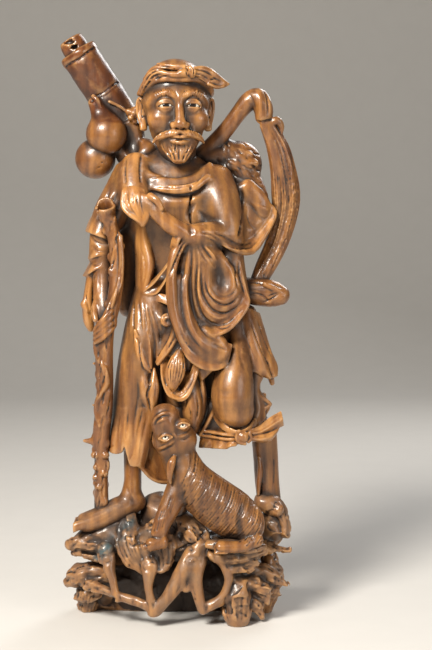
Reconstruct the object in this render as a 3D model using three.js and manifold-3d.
// A carved hardwood figure of a travelling merchant with a dog, on a pierced rock base.
// Millimetres, +Z up, +X to the viewer's right, and -Y towards the viewer.
// The origin is under the middle of the base, on the surface that the figure stands on.
import * as THREE from 'three';
import { LoftGeometry } from 'three/addons/geometries/LoftGeometry.js';
import { mergeVertices } from 'three/addons/utils/BufferGeometryUtils.js';
import Module from 'manifold-3d';

const wasm = await Module();
wasm.setup();

// Driving dimensions
const HEAD_CENTRE = new THREE.Vector3(-3.5, -2, 357);
const HEAD_TURN = THREE.MathUtils.degToRad(8);
const HEAD_HALF_HEIGHT = 33;
const HEAD_HALF_WIDTH = 23.5;
const HEAD_HALF_DEPTH = 25;
const EYE_SPACING = 0.39 * HEAD_HALF_WIDTH;
const EYE_RADIUS = 3.4;
const DOG_EYE_RADIUS = 2.6;
const INLAY_GAP = 0.3;
const GOURD_RADIUS = 14.5;
const TUBE_TOP = new THREE.Vector3(-73, 18, 397);
const TUBE_FOOT = new THREE.Vector3(-36.6, 21, 341.8);
const TUBE_RADIUS = 13.8;
const TUBE_LENGTH = 66;
const TUBE_RIM = 6;
const TUBE_NODE = 35;
const STAFF_TOP = 291;
const STAFF_FOOT = 76;
const HEM_HEIGHT = 104;
const GROUND_CUT = 40;
const WOOD = { color: 0x8a5126, roughness: 0.36, metalness: 0 };
const EYE_WHITE = { color: 0xe6e0d2, roughness: 0.15, metalness: 0 };

// A station of a limb: where its centre is, its half width across the front view, and its half depth.
const at = (x, y, z, wide, deep = wide) => ({ centre: new THREE.Vector3(x, y, z), wide, deep });

// One closed mesh geometry as a solid that can be joined and cut.
function solid(geometry) {
  const bare = new THREE.BufferGeometry();
  bare.setAttribute('position', geometry.attributes.position);
  bare.setIndex(geometry.index);
  const merged = mergeVertices(bare, 1e-3);
  return new wasm.Manifold(new wasm.Mesh({
    numProp: 3,
    vertProperties: new Float32Array(merged.attributes.position.array),
    triVerts: new Uint32Array(merged.index.array),
  }));
}

const joined = (solids) => solids.reduce((whole, piece) => whole.add(piece));

// The ring of points around one station, square to the limb's run.
function ring(centre, along, wide, deep, sides) {
  const reference = Math.abs(along.y) > 0.9 ? new THREE.Vector3(0, 0, 1) : new THREE.Vector3(0, 1, 0);
  const depthAxis = reference.sub(along.clone().multiplyScalar(reference.dot(along))).normalize();
  const sideAxis = new THREE.Vector3().crossVectors(depthAxis, along);
  return Array.from({ length: sides }, (_, i) => {
    const angle = (2 * Math.PI * i) / sides;
    return centre.clone()
      .addScaledVector(sideAxis, wide * Math.cos(angle))
      .addScaledVector(depthAxis, deep * Math.sin(angle));
  });
}

// A smooth limb lofted through its stations. Its ends are rounded where they are thick enough to show it.
function limb(stations, sides = 6) {
  const END_REACH = 0.62;
  const END_SIZE = 0.55;
  const ROUNDED_FROM = 7.5;
  const curve = new THREE.CatmullRomCurve3(stations.map((s) => s.centre), false, 'centripetal');
  const spans = stations.length - 1;
  const rings = stations.map((s, i) => ring(s.centre, curve.getTangent(i / spans), s.wide, s.deep, sides));
  const endRing = (station, along, outwards) => {
    const reach = Math.min(station.wide, station.deep) * END_REACH * outwards;
    const centre = station.centre.clone().addScaledVector(along, reach);
    return ring(centre, along, station.wide * END_SIZE, station.deep * END_SIZE, sides);
  };
  const isThick = (station) => Math.min(station.wide, station.deep) > ROUNDED_FROM;
  if (isThick(stations[0])) rings.unshift(endRing(stations[0], curve.getTangent(0), -1));
  if (isThick(stations[spans])) rings.push(endRing(stations[spans], curve.getTangent(1), 1));
  return lofted(rings);
}

// A closed loft through rings, turned the right way out
function lofted(rings) {
  const made = solid(new LoftGeometry(rings, { capStart: true, capEnd: true }));
  if (made.volume() > 0) return made;
  return solid(new LoftGeometry(rings.map((r) => r.reverse()), { capStart: true, capEnd: true }));
}

// An egg-shaped mass.
function ball(x, y, z, wide, deep, high, segments = 8) {
  const geometry = new THREE.SphereGeometry(1, segments, Math.max(4, Math.round(segments / 2)));
  geometry.rotateX(Math.PI / 2);
  geometry.scale(wide, deep, high);
  geometry.translate(x, y, z);
  return solid(geometry);
}

// Head, in its own frame: origin on the head's axis at the eye line, the face towards -Y
const headFrame = new THREE.Matrix4()
  .makeRotationZ(HEAD_TURN)
  .setPosition(HEAD_CENTRE);

const inHeadFrame = (piece) => piece.transform(headFrame.elements);

function eyeCentre(side) {
  return new THREE.Vector3(side * EYE_SPACING, -HEAD_HALF_DEPTH * 0.82, 0);
}

function head() {
  const skull = ball(0, 1, 7, HEAD_HALF_WIDTH, HEAD_HALF_DEPTH, HEAD_HALF_HEIGHT - 7, 9);
  const jaw = limb([
    at(0, -4, 0, 20, 20), at(0, -7, -14, 17, 16), at(0, -10, -24, 11, 12), at(0, -12, -29, 6, 7),
  ], 7);
  const nose = limb([at(0, -23, 3, 2, 2), at(0, -27, -8, 3, 3), at(0, -27, -14, 4, 4)], 4);
  const beard = limb([at(0, -17, -27, 9, 6), at(0, -19, -33, 6, 5), at(0, -20, -38, 2.5, 2.5)], 6);
  const pieces = [skull, jaw, nose, beard];
  for (const side of [-1, 1]) {
    pieces.push(
      limb([at(side * 2, -22, 6, 3), at(side * 9, -21, 8, 3.4), at(side * 15, -17, 5, 3)], 4),
      limb([at(side * 1, -23, -18, 3, 3), at(side * 9, -20, -20, 3, 3.4), at(side * 15, -14, -23, 2)], 4),
      limb([at(side * 22, 1, 5, 4, 5), at(side * 22.5, 0, -6, 3.6, 4), at(side * 20.5, -1, -16, 3.6, 4)],
        4),
    );
  }
  return pieces;
}

// The knotted headscarf: a band that dips at the sides, a knot over the brow, and two free ends
function headscarf() {
  const STEPS = 10;
  const band = Array.from({ length: STEPS + 1 }, (_, i) => {
    const angle = (2 * Math.PI * i) / STEPS + Math.PI / 2;
    const front = Math.max(0, -Math.sin(angle));
    return at(24 * Math.cos(angle), 1 + 25 * Math.sin(angle), 8 + 15 * front, 4.5, 3.2);
  });
  return [
    limb(band, 6),
    limb([at(6, -21, 21, 4, 4), at(9, -22, 25, 4, 4)], 5),
    limb([
      at(8, -21, 25, 3, 3), at(18, -19, 25, 5, 3.4), at(28, -15, 20, 5, 2.6), at(36, -12, 15, 1.4, 1.4),
    ], 5),
    limb([at(2, -17, 26, 3, 5), at(-8, -15, 27, 4, 5), at(-16, -12, 24, 3, 4)], 4),
  ];
}

// Trunk, neck and the robe about the chest
function trunk() {
  return [
    limb([
      at(-2, 8, 212, 27, 21), at(-1, 8, 235, 29, 21), at(0, 6, 262, 33, 22), at(-3, 5, 285, 37, 23),
      at(-5, 4, 303, 35, 21), at(-4, 4, 315, 25, 16), at(-3, 3, 322, 15, 11),
    ], 9),
    limb([at(-1, 1, 308, 12.5, 12), at(-3, 0, 334, 12.5, 12.5)], 7),
    limb([
      at(-30, -4, 319, 10, 9), at(-31, -12, 307, 11, 9), at(-30, -19, 295, 10, 8), at(-29, -22, 283, 7, 6),
    ], 6),
    limb([
      at(-24, -8, 316, 2.4), at(-14, -18, 307, 2.4), at(0, -20, 303, 2.4), at(12, -18, 306, 2.4),
      at(21, -8, 314, 2.4),
    ], 4),
    limb([at(-20, -18, 300, 3), at(-6, -19, 292, 3.2), at(8, -18, 292, 3.2), at(24, -14, 301, 3)], 4),
  ];
}

// The merchant's right arm, on the viewer's left: a layered sleeve, forearm and the hand on the staff
function rightArm() {
  const fingers = [0, 1, 2].map((i) => limb([
    at(-46, -18, 221 - 5 * i, 2.4), at(-43, -27, 219 - 5 * i, 2.2), at(-49, -31, 216 - 5 * i, 2),
  ], 4));
  return [
    limb([
      at(-33, 4, 307, 16, 15), at(-41, 0, 296, 13.5, 15), at(-48, -4, 281, 12.5, 14),
      at(-54, -6, 271, 11.5, 12),
    ], 7),
    limb([at(-53, -6, 272, 8.5, 10), at(-54, -6, 262, 9, 11), at(-55, -7, 252, 8.5, 10)], 6),
    limb([at(-54, -6, 258, 8, 10), at(-56, -7, 250, 9.5, 11), at(-58, -7, 244, 8, 10)], 6),
    limb([at(-46, -8, 272, 4, 8), at(-45, -9, 250, 4.5, 8), at(-46, -10, 232, 3.5, 6)], 4),
    limb([at(-54, -10, 250, 5.6, 6), at(-54, -12, 236, 5.4, 6), at(-54, -16, 225, 4.8, 5)], 6),
    limb([at(-53, -17, 223, 5, 5), at(-51, -20, 215, 6, 6), at(-51, -21, 208, 5, 5)], 6),
    limb([at(-57, -20, 220, 2.6), at(-58, -26, 212, 2.4), at(-56, -30, 205, 2)], 4),
    limb([
      at(-61, -2, 244, 3.6, 8), at(-63, -2, 230, 3.4, 8), at(-64, -2, 218, 3.6, 7), at(-62, -2, 205, 2, 4),
    ], 4),
    ...fingers,
  ];
}

// The merchant's left arm, on the viewer's right: upper arm, sleeve, forearm and the hand on the chest
function leftArm() {
  const FINGERS = [
    [[-34, 297], [-35, 288], [-31, 282]],
    [[-31, 298], [-31, 287], [-28, 280]],
    [[-28, 298], [-27, 287], [-25, 278]],
    [[-24, 297], [-23, 288], [-22, 280]],
  ];
  const KNUCKLE_RADIUS = 2.5;
  const fingers = FINGERS.map((joints) =>
    limb(joints.map(([x, z], i) => at(x, -34 + i, z, KNUCKLE_RADIUS - 0.3 * i)), 5));
  return [
    limb([
      at(22, 2, 305, 15, 15), at(27, -3, 292, 14.5, 16), at(32, -8, 276, 11.5, 15), at(33, -12, 266, 10, 12),
    ], 7),
    limb([at(31, -12, 267, 10, 10), at(18, -23, 268, 9.5, 9), at(7, -29, 268, 8.5, 8)], 6),
    limb([at(7, -30, 267, 7, 6), at(-6, -34, 276, 6.6, 6), at(-16, -35, 285, 5.6, 5)], 6),
    limb([at(-15, -35, 285, 5.6, 5), at(-23, -34, 291, 7, 5), at(-28, -33, 296, 8, 4.5)], 6),
    limb([at(-22, -36, 297, 2.6), at(-14, -38, 293, 2.4), at(-9, -38, 289, 2)], 4),
    ...fingers,
  ];
}

// The flap of robe that stands out behind the left elbow, hollowed at the front
function elbowFlap() {
  const flap = joined([
    limb([at(42, 6, 301, 7, 9), at(51, 8, 290, 13, 8), at(53, 7, 277, 11.5, 8), at(47, 2, 265, 9, 6)], 6),
    limb([at(26, -14, 266, 4, 5), at(40, -8, 260, 4, 5), at(55, 3, 266, 3, 4), at(62, 6, 279, 3, 4)], 4),
  ]);
  return [flap.subtract(ball(50, -6, 279, 8, 9, 12, 6))];
}

// The great hanging sleeve in front of the body, with folds that fan out from the elbow
function hangingSleeve() {
  const body = joined([
    limb([
      at(9, -24, 265, 12, 9), at(14, -22, 250, 20, 10), at(19, -20, 226, 25, 11), at(21, -17, 208, 15, 9),
    ], 7),
    limb([
      at(1, -27, 226, 8, 8), at(7, -28, 204, 10, 8), at(20, -26, 189, 13, 7), at(28, -24, 187, 7, 6),
    ], 6),
    limb([
      at(3, -30, 264, 4, 5), at(-5, -33, 248, 4.5, 5), at(-4, -34, 222, 4.5, 5), at(1, -34, 208, 4, 5),
      at(10, -33, 195, 4, 4), at(24, -30, 184, 3, 3),
    ], 4),
  ]).subtract(ball(29, -36, 240, 8, 9, 15, 6));
  const FAN = 3;
  const folds = Array.from({ length: FAN }, (_, i) => {
    const out = i / (FAN - 1);
    return limb([
      at(7 + out, -32, 264, 1.8), at(3 + 8 * out, -33, 240, 2.4), at(9 + 8 * out, -31, 206 + 3 * out, 2),
    ], 4);
  });
  const CATENARIES = 3;
  const swags = Array.from({ length: CATENARIES }, (_, i) => limb([
    at(20 - 5 * i, -30, 236 - i, 1.8), at(28 - 2 * i, -30, 221 - 6 * i, 2.4),
    at(41 + 2 * i, -22, 234 - 5 * i, 1.8),
  ], 4));
  return [body, ...folds, ...swags];
}

// The robe below the waist, its hems and the hanging panel behind the left leg
function skirts() {
  const HEM_FOLDS = 4;
  const legFolds = Array.from({ length: HEM_FOLDS }, (_, i) => limb([
    at(-27 + 4 * i, -23, 222 - 2 * i, 1.5), at(-25 + 5 * i, -26, 200, 2), at(-22 + 4 * i, -27, 178, 1.6),
  ], 4));
  return [
    limb([
      at(-17, -2, 228, 16, 18), at(-22, -4, 205, 17, 21), at(-28, -6, 176, 16, 21),
      at(-33, -6, 146, 15.5, 20), at(-36, -7, 123, 12, 16),
    ], 7),
    limb([at(-4, -2, 216, 22, 18), at(-1, -4, 176, 18.5, 18), at(-1, -3, 136, 13, 13)], 7),
    limb([at(-22, -4, 132, 14, 13), at(-18, -2, 114, 12, 12), at(-12, 0, HEM_HEIGHT, 8, 8)], 6),
    limb([at(14, 4, 224, 24, 17), at(28, 2, 206, 20, 16), at(36, -2, 196, 14, 14)], 7),
    limb([at(45, 4, 212, 9, 9), at(50, 7, 193, 10, 9), at(60, 8, 177, 5, 6)], 6),
    ...legFolds,
  ];
}

// The knotted sash with the pendant that hangs from it
function sash() {
  return [
    ball(-9, -27, 211, 4.5, 5, 4.5, 6),
    limb([at(-7, -27, 215, 2.6), at(-1, -28, 215, 2.8), at(1, -28, 208, 2.8), at(-4, -28, 199, 2.8),
      at(-10, -27, 187, 2.4)], 4),
    limb([at(-1, -23, 190, 3, 4), at(-3, -24, 178, 6.5, 5), at(-5, -23, 166, 4, 4)], 6),
    limb([
      at(-13, -22, 184, 2.4), at(-10, -24, 168, 3), at(0, -23, 159, 3), at(8, -22, 166, 3),
      at(12, -21, 178, 2.6),
    ], 4),
  ];
}

// The bent left leg in rolled trousers, tied below the knee with a bow
function leftLeg() {
  return [
    limb([at(38, -3, 205, 12, 14), at(36.5, -15, 181, 13, 17), at(35.5, -23, 158, 14.5, 17),
      at(37, -19, 145, 13, 15), at(40, -13, 137, 10, 12)], 7),
    limb([at(37, -11, 136, 17, 12), at(40, -6, 129, 14, 9)], 7),
    limb([at(24, -13, 150, 3.5, 7), at(18, -10, 138, 4.5, 8), at(17, -10, 127, 4.5, 7)], 4),
    limb([at(53, -6, 172, 4, 6), at(55, -7, 153, 4.5, 7), at(51, -10, 134, 7, 9)], 5),
    limb([at(17, -15, 131, 3.5, 4), at(28, -23, 130, 3.5, 4), at(40, -27, 131, 3, 3)], 4),
    ball(43, -28, 131, 4, 4, 4, 6),
    limb([at(45, -26, 132, 2.6), at(56, -19, 137, 3.6), at(66, -15, 143, 3.6), at(69, -14, 138, 2.6)], 4),
    limb([at(45, -26, 129, 2.6), at(58, -20, 128, 4), at(68, -15, 133, 3)], 4),
    limb([at(56, -3, 132, 8, 8), at(60, -1, 112, 7.5, 7.5), at(62, 0, 95, 7, 7.5), at(62, 0, 80, 8, 8)], 6),
    limb([at(61, 1, 79, 6, 7), at(64, -8, 76, 7, 5), at(66, -14, 73, 6, 4)], 6),
  ];
}

// The straight right leg and its bare foot
function rightLeg() {
  const toes = Array.from({ length: 5 }, (_, i) => limb([
    at(-71, -11 - 4 * i, 68.5, 3.6, 2.3), at(-78 + 0.4 * (4 - i), -13 - 4 * i, 65.5, 2.8, 2.2),
  ], 4));
  return [
    limb([
      at(-34, -6, 126, 6.5, 7), at(-34, -7, 108, 6.2, 6.8), at(-34, -8, 95, 6.2, 7), at(-35, -9, 86, 7, 8),
    ], 6),
    limb([
      at(-32, -7, 81, 7.6, 8), at(-44, -12, 76.5, 9, 9), at(-57, -16, 71, 8.4, 10),
      at(-70, -19, 68.5, 6.4, 10.5),
    ], 7),
    ...toes,
  ];
}

// The gnarled staff, from its broken hollow top down to the rock
function staff() {
  const shaft = limb([
    at(-51, -21, STAFF_TOP, 6.4), at(-48, -20, 279, 5), at(-43, -20, 252, 4.6), at(-46, -23, 222, 5.2),
    at(-51, -24, 204, 6.2), at(-52, -22, 168, 6.6), at(-54, -20.5, 138, 6.6), at(-55, -18, 112, 5.6),
    at(-55.5, -14, STAFF_FOOT, 5.4),
  ], 5);
  const THORNS = [[-56, 126, 10, 4], [-57, 151, 5, 2], [-57, 180, 4, 2], [-58, 116, 3.5, 3]];
  const thorns = THORNS.map(([x, z, reach, root]) =>
    limb([at(x, -20, z, root), at(x - reach, -19, z + 0.5, root * 0.3)], 4));
  const hollow = limb([at(-52, -25, STAFF_TOP + 1, 3.6, 3), at(-50, -22, STAFF_TOP - 9, 2.4)], 4);
  return [joined([shaft, ...thorns]).subtract(hollow)];
}

// The whisk: a handle that rises behind the shoulder and bends over, and its long falling tail
function whisk() {
  return [
    limb([
      at(12, 12, 322, 6.5), at(22, 11, 331.5, 6.2), at(32, 8, 342.5, 5.8), at(40, 5.5, 353, 5.8),
      at(47, 4, 361.5, 7), at(54, 2.5, 363.5, 7.4), at(58, 1, 353, 6.6),
    ], 7),
    limb([
      at(61, 3, 345, 5.5, 5), at(68, 6, 330, 8, 6), at(72, 9, 314, 9.3, 7), at(74, 11, 298, 10.6, 7),
      at(73.5, 13, 284, 9.6, 7), at(68, 12, 264, 8.4, 6), at(59, 9, 245, 7.4, 6), at(52, 6, 232, 5, 5),
    ], 6),
    limb([at(61, 0, 345, 2.5), at(67, 1, 348.5, 3.2), at(70, 3, 344, 2.4)], 4),
  ];
}

// What the merchant carries on his back: a rough bundle, a rolled one, a bamboo tube and a double gourd
function backLoad() {
  const TUBE_SIDES = 10;
  const down = TUBE_FOOT.clone().sub(TUBE_TOP).normalize();
  const alongTube = (distance, radius) => {
    const centre = TUBE_TOP.clone().addScaledVector(down, distance);
    return ring(centre, down, radius, radius, TUBE_SIDES);
  };
  const profile = [
    [0, TUBE_RADIUS], [TUBE_RIM, TUBE_RADIUS], [TUBE_RIM + 0.6, TUBE_RADIUS - 1],
    [TUBE_RIM + 2.6, TUBE_RADIUS - 0.4], [TUBE_NODE, TUBE_RADIUS], [TUBE_NODE + 1, TUBE_RADIUS - 1],
    [TUBE_NODE + 2, TUBE_RADIUS], [TUBE_LENGTH, TUBE_RADIUS - 1],
  ];
  return [
    lofted(profile.map(([distance, radius]) => alongTube(distance, radius))),
    limb([at(-67, 18, 389, 9.8, 9), at(-75.4, 18, 402.3, 9.4, 8.8)], 6),
    ball(-52, 6, 339, GOURD_RADIUS, GOURD_RADIUS - 0.5, GOURD_RADIUS, 9),
    limb([at(-54, 8, 349, 9), at(-58, 7, 356, 5.6), at(-62, 5, 362, 4)], 6),
    ball(-60.5, 13, 322, GOURD_RADIUS, GOURD_RADIUS - 0.5, GOURD_RADIUS, 9),
    limb([at(-20, 10, 320, 12, 12), at(-36, 13, 328, 12, 11), at(-33, 12, 346, 8, 9)], 6),
    ball(40.5, 18, 318, 17, 14, 17, 8),
    limb([at(44, 14, 308, 12, 10), at(53, 9, 294, 9, 8)], 5),
    limb([at(8, 10, 312, 11, 11), at(32, 16, 326, 12, 11)], 6),
    limb([at(36, 4, 232, 8, 8), at(50, 4, 229, 9.4, 9), at(63, 3, 227.5, 9.8, 9), at(71, 2, 226, 7, 7)], 7),
  ];
}

// The dog: it sits on the rock and throws its head back to look up
function dog() {
  return [
    limb([
      at(1, -29, 112, 12, 12), at(9, -31, 99, 15, 14), at(22, -31, 87, 17, 15), at(36, -30, 77, 17, 16),
      at(46, -28, 71, 13, 13),
    ], 7),
    ball(48, -35, 69, 11, 11, 14, 7),
    limb([at(50, -41, 61, 6, 6), at(40, -45, 58.5, 4.6, 5), at(28, -46, 58.5, 4.4, 5.5)], 6),
    limb([
      at(0, -34, 97, 7.5, 7), at(-7, -38, 84, 5.6, 5.6), at(-13, -41, 73, 4.8, 5), at(-16, -43, 66, 4.6, 5),
    ], 6),
    ball(-17.5, -45, 63, 6.5, 6.5, 4.4, 7),
    limb([at(4, -22, 94, 6, 6), at(0, -20, 80, 5, 5), at(-3, -20, 68, 4.6, 5)], 5),
    limb([at(2, -28, 110, 12, 11), at(-3, -28, 122, 12, 11.5)], 6),
    ball(-4, -30, 129, 15.5, 14, 13, 9),
    limb([at(-5, -34, 132, 12, 10), at(-9, -36, 143, 9.6, 9.6), at(-12, -35, 150, 7.4, 7.4)], 6),
    ball(1, -36, 139.5, 6.4, 6, 6.4, 6),
    limb([at(-4, -39, 120, 3.8, 4), at(-6, -40, 111, 3.8, 3.4), at(-7.5, -40, 103, 2, 2)], 4),
    limb([at(8, -30, 125, 4, 5), at(13, -31, 117, 3, 4)], 4),
  ];
}

const DOG_EYES = { dog_left_eye: [2, -40.5, 140.5], dog_right_eye: [-9.8, -42, 132.4] };

// The pierced rock: a slab, lobes and blocks around it, and the roots and feet that carry it
function rock() {
  const mass = [
    limb([at(-44, 2, 56, 12, 26), at(-20, 6, 60, 17, 32), at(10, 6, 58, 15, 34), at(38, 4, 55, 14, 32),
      at(60, 2, 58, 11, 18)], 7),
    limb([at(-58, 12, 20, 26, 18), at(-10, 14, 18, 30, 26), at(54, 12, 18, 26, 20)], 6),
    limb([at(-34, -8, 68, 9, 15), at(-54, -13, 61, 9, 14), at(-68, -15, 56, 8, 12)], 6),
    ball(-22, -31, 46, 19, 13, 13, 6),
    ball(38, -33, 46, 20, 14, 8, 6),
    ball(6, -26, 54, 16, 12, 16, 6),
    ball(-17, 2, 73, 14, 19, 14, 6),
    ball(65.5, -1, 62, 9, 14, 14.5, 6),
    limb([at(52, -6, 48, 7, 12), at(67, -6, 46, 5, 8)], 5),
  ];
  const blocks = [
    limb([at(-56, -4, 50, 10, 13), at(-66, -1, 26, 13.5, 17), at(-66, 2, -8, 10, 14)], 7),
    limb([at(42, -27, 34, 9, 10), at(39, -30, 16, 12, 13), at(38, -30, -8, 10, 10)], 6),
    limb([at(54, -4, 40, 10, 12), at(66, -2, 27, 8, 11)], 6),
  ];
  const roots = [
    limb([at(-50, -26, 46, 6), at(-47, -31, 34, 3.6), at(-44, -32, 22, 3.4)], 5),
    limb([at(-19, -38, 40, 6), at(-19, -40, 28, 3.6), at(-17, -39, 14, 4.4)], 5),
    limb([at(9, -34, 50, 7), at(3, -37, 36, 5.6), at(-7, -38, 22, 4.8), at(-16, -38, 14, 4.6)], 5),
    limb([at(9, -34, 50, 6), at(12, -37, 34, 5.6), at(14, -36, 15, 4.4)], 5),
    limb([at(28, -36, 44, 6), at(29, -36, 30, 4.2), at(16, -36, 15, 4.2)], 5),
    limb([at(-56, -24, 25, 3.6), at(-43, -32, 21, 3.2), at(-20, -39, 15, 3.4)], 4),
    limb([at(16, -36, 15, 3.4), at(34, -33, 18, 4)], 4),
  ];
  return [...mass, ...blocks, ...roots];
}

// Everything that is cut from the one block of wood
function carving() {
  const headPieces = [...head(), ...headscarf()].map(inHeadFrame);
  const wood = joined([
    ...headPieces, ...trunk(), ...rightArm(), ...leftArm(), ...elbowFlap(), ...hangingSleeve(), ...skirts(),
    ...sash(), ...leftLeg(), ...rightLeg(), ...staff(), ...whisk(), ...backLoad(), ...dog(), ...rock(),
  ]);
  const ground = new THREE.BoxGeometry(400, 400, GROUND_CUT);
  ground.translate(0, 0, -GROUND_CUT / 2);
  return wood.subtract(solid(ground));
}

// A round inlaid bead, and the slightly larger hole that it sits in
function bead(centre, radius) {
  return ball(centre.x, centre.y, centre.z, radius, radius, radius);
}

function inlays() {
  const eyes = Object.entries(DOG_EYES).map(([name, place]) => {
    const centre = new THREE.Vector3(...place);
    return { name, piece: bead(centre, DOG_EYE_RADIUS), socket: bead(centre, DOG_EYE_RADIUS + INLAY_GAP) };
  });
  for (const [name, side] of [['right_eye', -1], ['left_eye', 1]]) {
    const centre = eyeCentre(side).applyMatrix4(headFrame);
    eyes.push({ name, piece: bead(centre, EYE_RADIUS), socket: bead(centre, EYE_RADIUS + INLAY_GAP) });
  }
  return eyes;
}

// A named mesh from a finished solid
function mesh(name, piece, finish) {
  const { vertProperties, triVerts, numProp } = piece.getMesh();
  const positions = new Float32Array((vertProperties.length / numProp) * 3);
  for (let i = 0; i < positions.length / 3; i++) {
    for (let j = 0; j < 3; j++) positions[3 * i + j] = vertProperties[numProp * i + j];
  }
  const geometry = new THREE.BufferGeometry();
  geometry.setAttribute('position', new THREE.BufferAttribute(positions, 3));
  geometry.setIndex(new THREE.BufferAttribute(new Uint32Array(triVerts), 1));
  geometry.computeVertexNormals();
  const made = new THREE.Mesh(geometry, new THREE.MeshStandardMaterial(finish));
  made.name = name;
  return made;
}

const figure = new THREE.Group();
const eyes = inlays();
const wood = eyes.reduce((block, eye) => block.subtract(eye.socket), carving());
figure.add(mesh('carving', wood, WOOD));
for (const eye of eyes) figure.add(mesh(eye.name, eye.piece, EYE_WHITE));

// The origin goes under the middle of the figure.
const middle = new THREE.Box3().setFromObject(figure).getCenter(new THREE.Vector3());
figure.position.set(-middle.x, -middle.y, 0);

export default figure;
